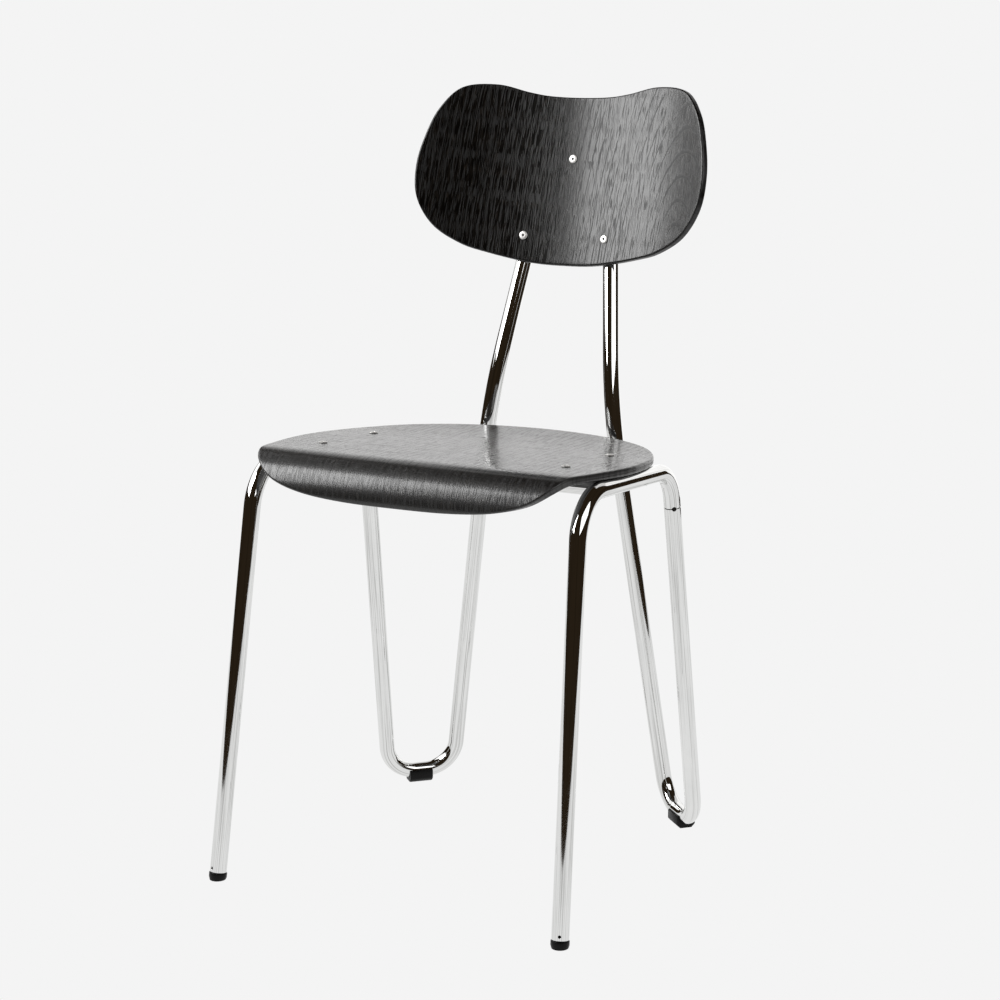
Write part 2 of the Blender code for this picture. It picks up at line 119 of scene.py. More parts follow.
# Backrest shell
BACK_THICKNESS = 0.0078
BACK_FRONT_RADIUS = 0.375
BACK_TILT = math.radians(13.9)
LOWER_RIVET_Z = 0.6526
LOWER_RIVET_SPREAD = 0.0018
BACK_OUTLINE = (
    (0.000, -0.0314), (0.042, -0.0299), (0.093, -0.0220), (0.126, -0.0140), (0.159, 0.0040),
    (0.180, 0.0340), (0.184, 0.0700), (0.177, 0.1060), (0.164, 0.1385), (0.140, 0.1642),
    (0.100, 0.1703), (0.063, 0.1638), (0.037, 0.1604), (0.000, 0.1594),
)

# Rivets
RIVET_HEAD_RADIUS = 0.0048
RIVET_HEAD_HEIGHT = 0.0013
RIVET_SHANK_RADIUS = 0.0022
RIVET_HOLE_RADIUS = 0.0026
RIVET_TAIL_RADIUS = 0.0034
RIVET_SPARE = 0.0020
RIVET_RIM_ROUNDING = 0.0003
RIVET_TAIL_LENGTH = 0.0034
RIVET_TAIL_ROUNDING = 0.0009
MANDREL_BORE_RADIUS = 0.0013
MANDREL_RADIUS = 0.0010
MANDREL_BALL_RADIUS = 0.0021

# How fine the meshes are
TUBE_SIDES = 56
BEND_STEP = math.radians(2.5)
SHELL_CELLS = 72
TURNED_STEPS = 48
WELD_STEPS = 120
WELD_SIDES = 10
EDGE_FILLET = 0.0019
FILLET_STEPS = 5
TUBE_CREASE = math.radians(35)
TURNED_CREASE = math.radians(40)
TINY = 1e-6

# Veneer: the face sheet's reach down the edge, the pitch of the layers there, and the rings' flattening
FACE_SHEET = 0.0009
LAYER_PITCH = 0.00115
RING_TAPER = 0.30

# Camera, at the photograph's viewing angle
CAMERA_BACK = 1.9637
CAMERA_X = 1.1481
CAMERA_Z = 0.9180
CAMERA_TILT = math.radians(90 - 12.0362)
CAMERA_TURN = math.radians(27.2572)
CAMERA_LENS = 84.34

# Studio. Each softbox: two floor points it stands over, its lower and upper edge, and its radiance
PALE = 0.9047
DARK = 0.015
ROOM_TINT = (1.5, 1.0, 0.55)
FLOOR_RADIUS = 2.05
FLOOR_DROP = 0.0004
FLOOR_FADE = 0.88
FADE_START, FADE_END = 0.50, 1.50
CAMERA_SIDE = (math.sin(CAMERA_TURN), -math.cos(CAMERA_TURN), 0.0)
SOFTBOXES = {
    "left_front_light": ((-1.06, -1.61), (-1.74, -0.68), 1.02, 2.80, 9.2),
    "left_light": ((-1.78, -0.64), (-2.00, 1.40), 0.82, 2.60, 1.5),
    "back_wall_low": ((-1.90, 2.10), (1.00, 2.10), 0.02, 1.35, 1.18),
    "back_wall_high": ((-1.90, 2.10), (1.00, 2.10), 1.35, 3.20, 0.75),
    "right_light": ((1.40, -1.55), (2.10, 0.60), 1.00, 2.60, 1.9),
}

SIDES = ((1, "right"), (-1, "left"))
CHAIR = bpy.context.scene.collection


# Materials


def add(tree, kind, settings=None, **inputs):
    """A shader node. Inputs are values, or sockets to link; underscores in their names stand for spaces."""
    made = tree.nodes.new("ShaderNode" + kind)
    for name, value in (settings or {}).items():
        setattr(made, name, value)
    for name, value in inputs.items():
        socket = made.inputs[int(name[1:])] if name[1:].isdigit() else made.inputs[name.replace("_", " ")]
        if isinstance(value, bpy.types.NodeSocket):
            tree.links.new(value, socket)
        else:
            socket.default_value = value
    return made


def calc(tree, operation, a, b=0.0):
    return add(tree, "Math", {"operation": operation}, i0=a, i1=b).outputs[0]


def remap(tree, value, low, high, to_low=0.0, to_high=1.0):
    return add(
        tree, "MapRange", Value=value, From_Min=low, From_Max=high, To_Min=to_low, To_Max=to_high
    ).outputs[0]


def stretch(tree, vector, scale):
    return add(tree, "VectorMath", {"operation": "MULTIPLY"}, i0=vector, i1=scale).outputs[0]


def noise(tree, vector, cells, detail=0.0, roughness=0.5):
    """Noise with the given number of cells per metre in each direction."""
    place = stretch(tree, vector, cells)
    return add(tree, "TexNoise", Vector=place, Scale=1.0, Detail=detail, Roughness=roughness).outputs["Fac"]


def mix_colour(tree, share, first, second):
    mixed = add(tree, "Mix", {"data_type": "RGBA"})
    for name, value in (("Factor", share), ("A", first), ("B", second)):
        socket = [s for s in mixed.inputs if s.name == name and s.enabled][0]
        if isinstance(value, bpy.types.NodeSocket):
            tree.links.new(value, socket)
        else:
            socket.default_value = value if name == "Factor" else (*value, 1.0)
    return [s for s in mixed.outputs if s.enabled][0]


def new_material(name):
    """A material with an empty tree but for its Principled shader; returns (material, tree, shader)."""
    material = bpy.data.materials.new(name)
    material.use_nodes = True
    tree = material.node_tree
    return material, tree, tree.nodes["Principled BSDF"]


def wire(tree, source, shader, name):
    tree.links.new(source, shader.inputs[name])


def bump(tree, shader, height, strength, distance):
    """Bends the shader's normal by a height, and returns the bent normal."""
    made = add(tree, "Bump", Height=height, Strength=strength, Distance=distance).outputs[0]
    wire(tree, made, shader, "Normal")
    return made


def chrome_material():
    """Bright plating on drawn tube: darker draw lines along it, a little haze and slow waviness."""
    material, tree, shader = new_material("chrome_plate")
    lay = add(tree, "Attribute", {"attribute_name": "lay"}).outputs["Vector"]
    lines = noise(tree, lay, (5.0, 760.0, 1.0), 3.0, 0.6)
    haze = noise(tree, lay, (35.0, 60.0, 1.0), 4.0, 0.65)
    waves = noise(tree, lay, (11.0, 170.0, 1.0), 1.0, 0.4)
    tint = mix_colour(tree, haze, (0.72, 0.725, 0.72), (0.84, 0.84, 0.83))
    drawn = remap(tree, lines, 0.50, 0.66)
    wire(tree, mix_colour(tree, drawn, tint, (0.46, 0.46, 0.45)), shader, "Base Color")
    hazy = remap(tree, haze, 0.35, 0.7, 0.03, 0.06)
    wire(tree, calc(tree, "ADD", hazy, remap(tree, lines, 0.3, 0.7, 0.0, 0.02)), shader, "Roughness")
    shader.inputs["Metallic"].default_value = 1.0
    height = calc(tree, "ADD", waves, calc(tree, "MULTIPLY", lines, 0.03))
    bump(tree, shader, height, 0.40, 0.00012)
    return material


def off_middle(tree, value):
    """How far a noise value is from its middle: near zero in thin lines."""
    return calc(tree, "ABSOLUTE", calc(tree, "SUBTRACT", value, 0.5))


def ring_radius(tree, across, along, heart, ripple):
    """Distance from the heart of the figure, flattened so that the growth rings arch over it."""
    sideways = calc(tree, "SUBTRACT", across, heart[0])
    endways = calc(tree, "MULTIPLY", calc(tree, "SUBTRACT", along, heart[1]), RING_TAPER)
    sideways = calc(tree, "MULTIPLY", sideways, sideways)
    endways = calc(tree, "MULTIPLY", endways, endways)
    radius = calc(tree, "SQRT", calc(tree, "ADD", sideways, endways))
    return calc(tree, "ADD", radius, calc(tree, "MULTIPLY", calc(tree, "SUBTRACT", ripple, 0.5), 0.0009))


def wood_material(name, thickness, lean, heart, ring_width, gloss, relief, lacquer):
    """Black-stained open-pore veneer: rings that arch over the heart, pores along the grain with painted
    glints on the ridges between them, ply edges.
    """
    material, tree, shader = new_material(name)
    lay = add(tree, "Attribute", {"attribute_name": "lay"}).outputs["Vector"]
    depth = add(tree, "SeparateXYZ", Vector=lay).outputs["Z"]
    turned = add(tree, "Mapping", Vector=lay, Rotation=(0.0, 0.0, lean)).outputs[0]
    parts = add(tree, "SeparateXYZ", Vector=turned)
    drift = noise(tree, turned, (12.0, 5.0, 1.0), 2.0)
    drift = calc(tree, "MULTIPLY", calc(tree, "SUBTRACT", drift, 0.5), 0.007)
    across, along = calc(tree, "ADD", parts.outputs["X"], drift), parts.outputs["Y"]

    # Early wood is the dark line where each ring starts, stronger in some patches than in others
    ripple = noise(tree, turned, (150.0, 26.0, 1.0), 2.0)
    radius = ring_radius(tree, across, along, heart, ripple)
    ring = calc(tree, "FRACT", calc(tree, "DIVIDE", radius, ring_width))
    early = calc(tree, "POWER", calc(tree, "SUBTRACT", 1.0, ring), 6.0)
    patch = noise(tree, turned, (24.0, 9.0, 1.0), 1.0)
    early = calc(tree, "MULTIPLY", early, remap(tree, patch, 0.32, 0.56))

    # Pores and the ridges between them are thin broken lines along the grain; the ridges are also painted
    # lighter, a painted glint of the pore walls catching the light
    grain = add(tree, "CombineXYZ", X=across, Y=along).outputs[0]
    fine = noise(tree, grain, (1300.0, 80.0, 1.0))
    pore_lines = remap(tree, off_middle(tree, noise(tree, grain, (560.0, 24.0, 1.0))), 0.075, 0.035)
    ridge_and_glint_lines = remap(tree, off_middle(tree, noise(tree, grain, (610.0, 30.0, 1.0))), 0.060, 0.020)
    pores = calc(tree, "MULTIPLY", pore_lines, remap(tree, fine, 0.36, 0.50))
    pores = calc(tree, "MAXIMUM", pores, remap(tree, calc(tree, "MULTIPLY", early, fine), 0.12, 0.26))
    ridge_relief_and_glints = calc(tree, "MULTIPLY", ridge_and_glint_lines, remap(tree, fine, 0.60, 0.46))

    # Painted highlight: the ridges' lighter colour stands in for the glints of the pore walls in the light,
    # painted into the stain
    tone_with_painted_glints = mix_colour(tree, ridge_relief_and_glints, (0.0006, 0.0004, 0.0003), (0.0150, 0.0122, 0.0096))
    tone = mix_colour(tree, pores, tone_with_painted_glints, (0.0004, 0.0003, 0.0003))
    below = calc(tree, "GREATER_THAN", depth, FACE_SHEET)
    above = calc(tree, "LESS_THAN", depth, thickness - FACE_SHEET)
    side = calc(tree, "MULTIPLY", below, above)
    layers = remap(tree, calc(tree, "PINGPONG", depth, LAYER_PITCH), 0.0002, 0.0009)
    edge_tone = mix_colour(tree, layers, (0.0008, 0.0007, 0.0006), (0.0034, 0.0029, 0.0026))
    wire(tree, mix_colour(tree, side, tone, edge_tone), shader, "Base Color")

    rough = remap(tree, pores, 0.0, 1.0, gloss, gloss + 0.28)
    wire(tree, calc(tree, "ADD", rough, calc(tree, "MULTIPLY", side, 0.08)), shader, "Roughness")
    shader.inputs["IOR"].default_value = 1.5
    shader.inputs["Coat Weight"].default_value = lacquer
    shader.inputs["Coat Roughness"].default_value = 0.17
    height = calc(tree, "SUBTRACT", calc(tree, "MULTIPLY", ridge_relief_and_glints, 0.7), pores)
    height = calc(tree, "MULTIPLY", height, calc(tree, "SUBTRACT", 1.0, side))
    height = calc(tree, "ADD", height, calc(tree, "MULTIPLY", side, calc(tree, "MULTIPLY", layers, 0.6)))
    wire(tree, bump(tree, shader, height, 0.6, relief), shader, "Coat Normal")
    return material


def plastic_material():
    """Moulded black plastic with a soft gloss, fine grain and scuffs."""
    material, tree, shader = new_material("moulded_plastic")
    place = add(tree, "TexCoord").outputs["Object"]
    grain = noise(tree, place, (2600.0, 2600.0, 2600.0), 3.0, 0.6)
    scuffs = noise(tree, place, (160.0, 160.0, 600.0), 4.0, 0.65)
    tone = mix_colour(tree, scuffs, (0.0016, 0.0015, 0.0014), (0.0060, 0.0056, 0.0052))
    wire(tree, tone, shader, "Base Color")
    wire(tree, remap(tree, scuffs, 0.35, 0.7, 0.28, 0.5), shader, "Roughness")
    shader.inputs["Specular IOR Level"].default_value = 0.15
    bump(tree, shader, grain, 0.25, 0.00004)
    return material


def steel_material(name, light, dark, low, high):
    """Turned or cut steel with fine scratches."""
    material, tree, shader = new_material(name)
    place = add(tree, "TexCoord").outputs["Object"]
    scratches = noise(tree, place, (900.0, 900.0, 3000.0), 3.0, 0.7)
    patches = noise(tree, place, (420.0, 420.0, 420.0), 3.0, 0.6)
    wire(tree, mix_colour(tree, patches, dark, light), shader, "Base Color")
    wire(tree, remap(tree, scratches, 0.3, 0.7, low, high), shader, "Roughness")
    shader.inputs["Metallic"].default_value = 1.0
    bump(tree, shader, scratches, 0.2, 0.00002)
    return material


CHROME = chrome_material()
SEAT_PLY = wood_material(
    "seat_veneer", SEAT_THICKNESS, lean=math.radians(-2.0), heart=(0.50, 0.20), ring_width=0.0085,
    gloss=0.38, relief=0.00006, lacquer=0.60,
)
BACK_PLY = wood_material(
    "back_veneer", BACK_THICKNESS, lean=math.radians(2.0), heart=(0.150, -0.06), ring_width=0.0080,
    gloss=0.20, relief=0.00004, lacquer=0.0,
)
PLASTIC = plastic_material()
RIVET_STEEL = steel_material("rivet_plate", (0.90, 0.89, 0.87), (0.76, 0.75, 0.73), 0.42, 0.60)
# Near-black steel for the joint pins and the mandrels; on the mandrels the near-black is painted shade, the
# dark of the rivets' bores painted onto the metal
DARK_STEEL = steel_material("near_black_steel", (0.035, 0.033, 0.031), (0.012, 0.011, 0.010), 0.35, 0.55)


# Meshes


def finish_piece(name, mesh, material, node=None, matrix=None):
    """Puts a mesh in the scene as a piece of the chair, standing for a CAD node if one is named."""
    mesh.materials.clear()
    mesh.materials.append(material)
    piece = bpy.data.objects.new(name, mesh)
    CHAIR.objects.link(piece)
    if matrix is not None:
        mesh.transform(matrix)
    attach(piece, "root")
    if node:
        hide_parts(node)
    return piece


def mesh_from(bm, name, smooth_angle=None):
    """The bmesh as a mesh, shaded smooth, with edges over the angle kept sharp."""
    bmesh.ops.recalc_face_normals(bm, faces=bm.faces)
    for face in bm.faces:
        face.smooth = True
    if smooth_angle is not None:
        for edge in bm.edges:
            if len(edge.link_faces) == 2 and edge.calc_face_angle() > smooth_angle:
                edge.smooth = False
    mesh = bpy.data.meshes.new(name)
    bm.to_mesh(mesh)
    bm.free()
    return mesh


def store_lay(mesh, values):
    """Keeps each point's place in the piece's own layout, for its material."""
    layer = mesh.attributes.new("lay", "FLOAT_VECTOR", "POINT")
    layer.data.foreach_set("vector", np.asarray(values, np.float32).ravel())


def cut(mesh, cutters):
    """The mesh less the cutters. What is left of its surface keeps its layout and its smooth shading."""
    mesh.calc_loop_triangles()
    spots = [v.co.copy() for v in mesh.vertices]
    corners = [tuple(t.vertices) for t in mesh.loop_triangles]
    shading = [[Vector(mesh.corner_normals[k].vector) for k in t.loops] for t in mesh.loop_triangles]
    lay = [v.vector.copy() for v in mesh.attributes["lay"].data] if "lay" in mesh.attributes else None
    tree = BVHTree.FromPolygons(spots, corners)
    holder = bpy.data.objects.new("holder", mesh)
    CHAIR.objects.link(holder)
    tools = []
    for k, cutter in enumerate(cutters):
        tool = bpy.data.objects.new(f"tool_{k}", cutter)
        CHAIR.objects.link(tool)
        tools.append(tool)
        boolean = holder.modifiers.new(f"cut_{k}", "BOOLEAN")
        boolean.object = tool
        boolean.solver = "EXACT"
    graph = bpy.context.evaluated_depsgraph_get()
    result = bpy.data.meshes.new_from_object(holder.evaluated_get(graph))
    for obj in (*tools, holder):
        bpy.data.objects.remove(obj, do_unlink=True)
    places, normals, fresh = [], [], []
    kept = KDTree(len(spots))
    for k, spot in enumerate(spots):
        kept.insert(spot, k)
    kept.balance()
    for vertex in result.vertices:
        spot, _, index, away = tree.find_nearest(vertex.co)
        triangle = corners[index]
        shares = poly_3d_calc([spots[k] for k in triangle], spot)
        normals.append(sum((n * w for n, w in zip(shading[index], shares)), Vector()).normalized())
        if lay:
            places.append(sum((lay[k] * w for k, w in zip(triangle, shares)), Vector()))
        fresh.append(away < TINY and kept.find(vertex.co)[2] > TINY)
    if lay:
        result.attributes.remove(result.attributes["lay"])
        store_lay(result, places)
    loops = [Vector()] * len(result.loops)
    for face in result.polygons:
        for k in face.loop_indices:
            vertex = result.loops[k].vertex_index
            if fresh[vertex] and normals[vertex].dot(face.normal) > 0.9:
                loops[k] = normals[vertex]
    result.normals_split_custom_set(loops)
    return result


def frame_along(origin, direction, near=Vector((0.0, 0.0, 1.0))):
    """A matrix at origin whose Z axis runs along direction, with Y as close as it can be to near."""
    z_axis = direction.normalized()
    y_axis = near - z_axis * near.dot(z_axis)
    if y_axis.length < TINY:
        y_axis = Vector((0.0, 1.0, 0.0)) - z_axis * z_axis.y
    y_axis.normalize()
    x_axis = y_axis.cross(z_axis)
    rotation = Matrix((x_axis, y_axis, z_axis)).transposed()
    return Matrix.Translation(origin) @ rotation.to_4x4()


def side_of(point, side):
    """The right side's point, or its mirror image for side -1."""
    return Vector((side * point.x, point.y, point.z))


def rounded_path(corners, radii):
    """Points along straight runs between the corners, with an arc of the given radius at each inner one."""
    points = [corners[0].copy()]
    for before, corner, after, radius in zip(corners, corners[1:], corners[2:], radii):
        back = (before - corner).normalized()
        ahead = (after - corner).normalized()
        half = back.angle(ahead) / 2
        centre = corner + (back + ahead).normalized() * radius / math.sin(half)
        start = (corner + back * radius / math.tan(half) - centre).normalized()
        turn = math.pi - 2 * half
        steps = max(2, math.ceil(turn / BEND_STEP))
        for k in range(steps + 1):
            angle = turn * k / steps
            points.append(centre + radius * (math.cos(angle) * start - math.sin(angle) * back))
    points.append(corners[-1].copy())
    return points


def path_frames(path):
    """(point, sideways, upward, distance) along a path, turned as little as possible from one to the next."""
    directions = [(b - a).normalized() for a, b in zip(path, path[1:])]
    sideways = directions[0].orthogonal().normalized()
    frames, distance = [], 0.0
    for k, point in enumerate(path):
        before = directions[max(k - 1, 0)]
        after = directions[min(k, len(directions) - 1)]
        middle = (before + after).normalized()
        sideways = (sideways - middle * sideways.dot(middle)).normalized()
        if k:
            distance += (point - path[k - 1]).length
        frames.append((point, sideways, middle.cross(sideways), distance))
    return frames


def densified(path, longest=0.03):
    """The path with long straight runs split, so that cuts and layouts stay local."""
    points = [path[0]]
    for a, b in zip(path, path[1:]):
        count = max(1, math.ceil((b - a).length / longest))
        points += [a.lerp(b, k / count) for k in range(1, count + 1)]
    return points


def tube_mesh(name, path, radius=TUBE_RADIUS, wall=TUBE_WALL, lip=0.0004):
    """A round hollow tube along a path with softened ends, laid out by distance along and round it."""
    path = densified(path)
    ahead = (path[1] - path[0]).normalized()
    behind = (path[-2] - path[-1]).normalized()
    path = [path[0], path[0] + ahead * lip, *path[1:-1], path[-1] + behind * lip, path[-1]]
    frames = path_frames(path)
    last = len(frames) - 1
    outer = [radius - lip if k in (0, last) else radius for k in range(last + 1)]
    inner = [radius - wall + lip / 2 if k in (0, last) else radius - wall for k in range(last + 1)]
    loops = [(f, r) for f, r in zip(frames, outer)] + [(f, r) for f, r in zip(frames[::-1], inner[::-1])]
    bm = bmesh.new()
    rings, lay = [], []
    for (point, sideways, upward, distance), r in loops:
        ring = []
        for k in range(TUBE_SIDES):
            angle = 2 * math.pi * k / TUBE_SIDES
            ring.append(bm.verts.new(point + (sideways * math.cos(angle) + upward * math.sin(angle)) * r))
            lay.append((distance, r * abs(angle - math.pi), 0.0))
        rings.append(ring)
    for a, b in zip(rings, rings[1:] + rings[:1]):
        for k in range(TUBE_SIDES):
            n = (k + 1) % TUBE_SIDES
            bm.faces.new((a[k], a[n], b[n], b[k]))
    mesh = mesh_from(bm, name, TUBE_CREASE)
    store_lay(mesh, lay)
    return mesh


def rod_mesh(name, radius, low, high, sides=32):
    bm = bmesh.new()
    middle = Matrix.Translation((0.0, 0.0, (low + high) / 2))
    bmesh.ops.create_cone(
        bm, cap_ends=True, segments=sides, radius1=radius, radius2=radius, depth=high - low, matrix=middle
    )
    return mesh_from(bm, name)


def turned_mesh(name, profile):
    """A profile of (radius, height) points spun about Z; points on the axis close it."""
    bm = bmesh.new()
    rings = []
    for radius, height in profile:
        if radius < TINY:
            rings.append([bm.verts.new((0.0, 0.0, height))])
            continue
        angles = [2 * math.pi * k / TURNED_STEPS for k in range(TURNED_STEPS)]
        rings.append([bm.verts.new((radius * math.cos(a), radius * math.sin(a), height)) for a in angles])
    closed = len(rings[0]) > 1
    for a, b in zip(rings, rings[1:] + (rings[:1] if closed else [])):
        for k in range(TURNED_STEPS):
            n = (k + 1) % TURNED_STEPS
            corners = [a[k % len(a)], a[n % len(a)], b[n % len(b)], b[k % len(b)]]
            bm.faces.new(list(dict.fromkeys(corners)))
    return mesh_from(bm, name, TURNED_CREASE)


def arc(centre_radius, centre_height, size, start, end, steps=4):
    """Profile points of a rounded corner, angles in degrees from the outward direction."""
    angles = [math.radians(start + (end - start) * k / steps) for k in range(steps + 1)]
    return [(centre_radius + size * math.cos(a), centre_height + size * math.sin(a)) for a in angles]


# Where things are

RAIL_DIRECTION = (RAIL_REAR - RAIL_FRONT).normalized()
SLOPE = math.atan2(-RAIL_DIRECTION.z, RAIL_DIRECTION.y)
SEAT_BACKWARD = Vector((0.0, math.cos(SLOPE), -math.sin(SLOPE)))
SEAT_UP = Vector((0.0, math.sin(SLOPE), math.cos(SLOPE)))


def point_at_height(low, high, z):
    return low + (high - low) * (z - low.z) / (high.z - low.z)


def joint_point(side):
    return side_of(point_at_height(HAIRPIN_OUTER, RAIL_REAR, JOINT_Z), side)


def joint_up(side):
    return (side_of(RAIL_REAR, side) - side_of(HAIRPIN_OUTER, side)).normalized()


def side_path(side):
    front = point_at_height(FRONT_FOOT, RAIL_FRONT, TUBE_END_Z)
    corners = [side_of(p, side) for p in (front, RAIL_FRONT, RAIL_REAR)]
    corners.append(joint_point(side) + joint_up(side) * GAP / 2)
    return rounded_path(corners, (FRONT_BEND, REAR_BEND))


def loop_path():
    right = [joint_point(1) - joint_up(1) * GAP / 2, HAIRPIN_OUTER, HAIRPIN_INNER, UPRIGHT_BEND]
    left = [side_of(p, -1) for p in reversed(right)]
    bends = (HAIRPIN_BEND, HAIRPIN_BEND, UPRIGHT_BEND_RADIUS)
    return rounded_path([*right, ARCH_CORNER, *left], (*bends, ARCH_BEND, *reversed(bends)))


def arch_top():
    """The highest point of the arch's centreline."""
    rise = (ARCH_CORNER - UPRIGHT_BEND).normalized()
    middle = Vector((0.0, rise.y, rise.z))
    half = rise.angle(middle)
    return ARCH_CORNER - middle.normalized() * ARCH_BEND * (1 / math.sin(half) - 1)


def rail_centre(y):
    """The point of X = 0 in the plane of the rails' centrelines."""
    along = (y - RAIL_FRONT.y) / SEAT_BACKWARD.y
    return Vector((0.0, RAIL_FRONT.y, RAIL_FRONT.z)) + SEAT_BACKWARD * along


def leg_direction(side):
    return (side_of(RAIL_FRONT, side) - side_of(FRONT_FOOT, side)).normalized()


def pin_direction(side):
    outward = Vector((side * math.sin(PIN_AZIMUTH), -math.cos(PIN_AZIMUTH), 0.0))
    up = joint_up(side)
    return (outward - up * outward.dot(up)).normalized()


def roll_table(step=0.0005, reach=0.1):
    """Distances (forward, down) at even steps along the roll, whose bend tightens over ROLL_EASE."""
    spots, angle = [(0.0, 0.0)], 0.0
    for k in range(round(reach / step)):
        angle += step * min(1.0, (k + 0.5) * step / ROLL_EASE) / ROLL_RADIUS
        forward, down = spots[-1]
        spots.append((forward + step * math.cos(angle), down + step * math.sin(angle)))
    return np.array(spots), step


ROLL_SPOTS, ROLL_STEP = roll_table()


def seat_point(across, along):
    """A point of the seat's top face from its flat layout."""
    start = rail_centre(ROLL_START_Y) + SEAT_UP * (TUBE_RADIUS + GAP + SEAT_THICKNESS)
    if along < ROLL_EASE / 2:
        steps = np.arange(len(ROLL_SPOTS)) * ROLL_STEP
        forward, down = (float(np.interp(ROLL_EASE / 2 - along, steps, spot)) for spot in ROLL_SPOTS.T)
        point = start + SEAT_BACKWARD * (ROLL_EASE / 2 - forward) - SEAT_UP * down
    else:
        rise = max(0.0, along - DISH_START) ** 2 / (2 * DISH_RADIUS)
        point = start + SEAT_BACKWARD * along + SEAT_UP * rise
    return Vector((across, point.y, point.z))


BACK_UPWARD = Vector((0.0, math.sin(BACK_TILT), math.cos(BACK_TILT)))
BACK_FORWARD = Vector((0.0, -math.cos(BACK_TILT), math.sin(BACK_TILT)))
BACK_TOP_RIVET = arch_top() + BACK_FORWARD * (TUBE_RADIUS + GAP + BACK_THICKNESS)
UPRIGHT_AT_RIVETS = point_at_height(UPRIGHT_BEND, ARCH_CORNER, LOWER_RIVET_Z)
RIVET_RISE = (arch_top() - UPRIGHT_AT_RIVETS).dot(BACK_UPWARD)


def back_point(across, along):
    """A point of the backrest's front face from its flat layout."""
    angle = across / BACK_FRONT_RADIUS
    base = BACK_TOP_RIVET + BACK_UPWARD * (along - RIVET_RISE)
    forward = BACK_FORWARD * BACK_FRONT_RADIUS * (1 - math.cos(angle))
    return base + forward + Vector((BACK_FRONT_RADIUS * math.sin(angle), 0.0, 0.0))


def back_normal(across):
    angle = across / BACK_FRONT_RADIUS
    return BACK_FORWARD * math.cos(angle) - Vector((math.sin(angle), 0.0, 0.0))


# Tubes


def pin_notch(side):
    """The cutter for the joint pin's place across the seam."""
    notch = rod_mesh("notch", PIN_RADIUS + GAP, TUBE_RADIUS / 4, 2 * TUBE_RADIUS)
    notch.transform(frame_along(joint_point(side), pin_direction(side), joint_up(side)))
    return notch


def make_side_tube(side, word):
    leg = leg_direction(side)
    place = side_of(FRONT_FOOT, side) + leg * DRAIN_UP_LEG
    outward = Vector((side * math.sin(DRAIN_AZIMUTH), -math.cos(DRAIN_AZIMUTH), 0.0))
    drain = rod_mesh("drain", DRAIN_RADIUS, TUBE_RADIUS / 2, 2 * TUBE_RADIUS)
    drain.transform(frame_along(place, (outward - leg * outward.dot(leg)).normalized()))
    mesh = cut(tube_mesh(f"side_{word}", side_path(side)), [drain, pin_notch(side)])
    finish_piece(f"side_tube_{word}_chrome", mesh, CHROME, f"side_tube_{word}")


def make_loop_tube():
    mesh = cut(tube_mesh("loop", loop_path()), [pin_notch(side) for side, _ in SIDES])
    finish_piece("back_loop_chrome", mesh, CHROME, "back_loop_tube")


def make_cross_tube(word, y):
    centre = rail_centre(y)
    reach = Vector((RAIL_FRONT.x, 0.0, 0.0))
    cutters = []
    for side, _ in SIDES:
        front, rear = side_of(RAIL_FRONT, side), side_of(RAIL_REAR, side)
        rail = rod_mesh("rail", TUBE_RADIUS + GAP, 0.0, (rear - front).length, 64)
        rail.transform(frame_along(front, rear - front))
        cutters.append(rail)
    mesh = cut(tube_mesh(f"cross_{word}", [centre - reach, centre + reach]), cutters)
    finish_piece(f"cross_tube_{word}_chrome", mesh, CHROME, f"cross_tube_{word}")


def make_weld(where, y, side, word):
    """The rippled bead round a cross tube's end, dressed flush with the top so that the seat lies flat."""
    centre, axis = rail_centre(y), Vector((side, 0.0, 0.0))
    reach = TUBE_RADIUS + GAP * 2 / 3
    bm = bmesh.new()
    rings = []
    for k in range(WELD_STEPS):
        angle = 2 * math.pi * k / WELD_STEPS
        along, up = math.cos(angle), math.sin(angle)
        inward = math.sqrt(max(0.0, 1.0 - (up * 0.985) ** 2)) * TUBE_RADIUS
        height = min(up * reach, TUBE_RADIUS - WELD_BEAD * 0.85)
        spot = centre + axis * (RAIL_FRONT.x - inward - GAP * 4 / 3)
        spot += SEAT_BACKWARD * along * reach + SEAT_UP * height
        outward = (SEAT_BACKWARD * along + SEAT_UP * up).normalized()
        size = WELD_BEAD * (1.0 + WELD_RIPPLE * math.sin(angle * WELD_RIPPLES))
        turns = (2 * math.pi * j / WELD_SIDES for j in range(WELD_SIDES))
        spots = (spot + (outward * math.cos(t) * 0.8 + axis * math.sin(t)) * size for t in turns)
        rings.append([bm.verts.new(place) for place in spots])
    for a, b in zip(rings, rings[1:] + rings[:1]):
        for j in range(WELD_SIDES):
            n = (j + 1) % WELD_SIDES
            bm.faces.new((a[j], a[n], b[n], b[j]))
    mesh = mesh_from(bm, f"weld_{where}_{word}")
    store_lay(mesh, [(v.co.y * 3, v.co.z * 3, 0.0) for v in mesh.vertices])
    finish_piece(f"weld_{where}_{word}", mesh, CHROME)


def make_pin(side, word):
    top = TUBE_RADIUS + GAP / 2
    profile = [
        (0.0, top), (PIN_RADIUS * 0.55, top - PIN_ROUNDING / 8),
        *arc(PIN_RADIUS - PIN_ROUNDING, top - PIN_ROUNDING * 5 / 4, PIN_ROUNDING, 80, 0),
        (PIN_RADIUS, top - PIN_DEPTH), (0.0, top - PIN_DEPTH),
    ]
    mesh = turned_mesh(f"pin_{word}", profile)
    mesh.transform(frame_along(joint_point(side), pin_direction(side), joint_up(side)))
    finish_piece(f"joint_pin_{word}_fine", mesh, DARK_STEEL, f"joint_pin_{word}")


# Plywood shells


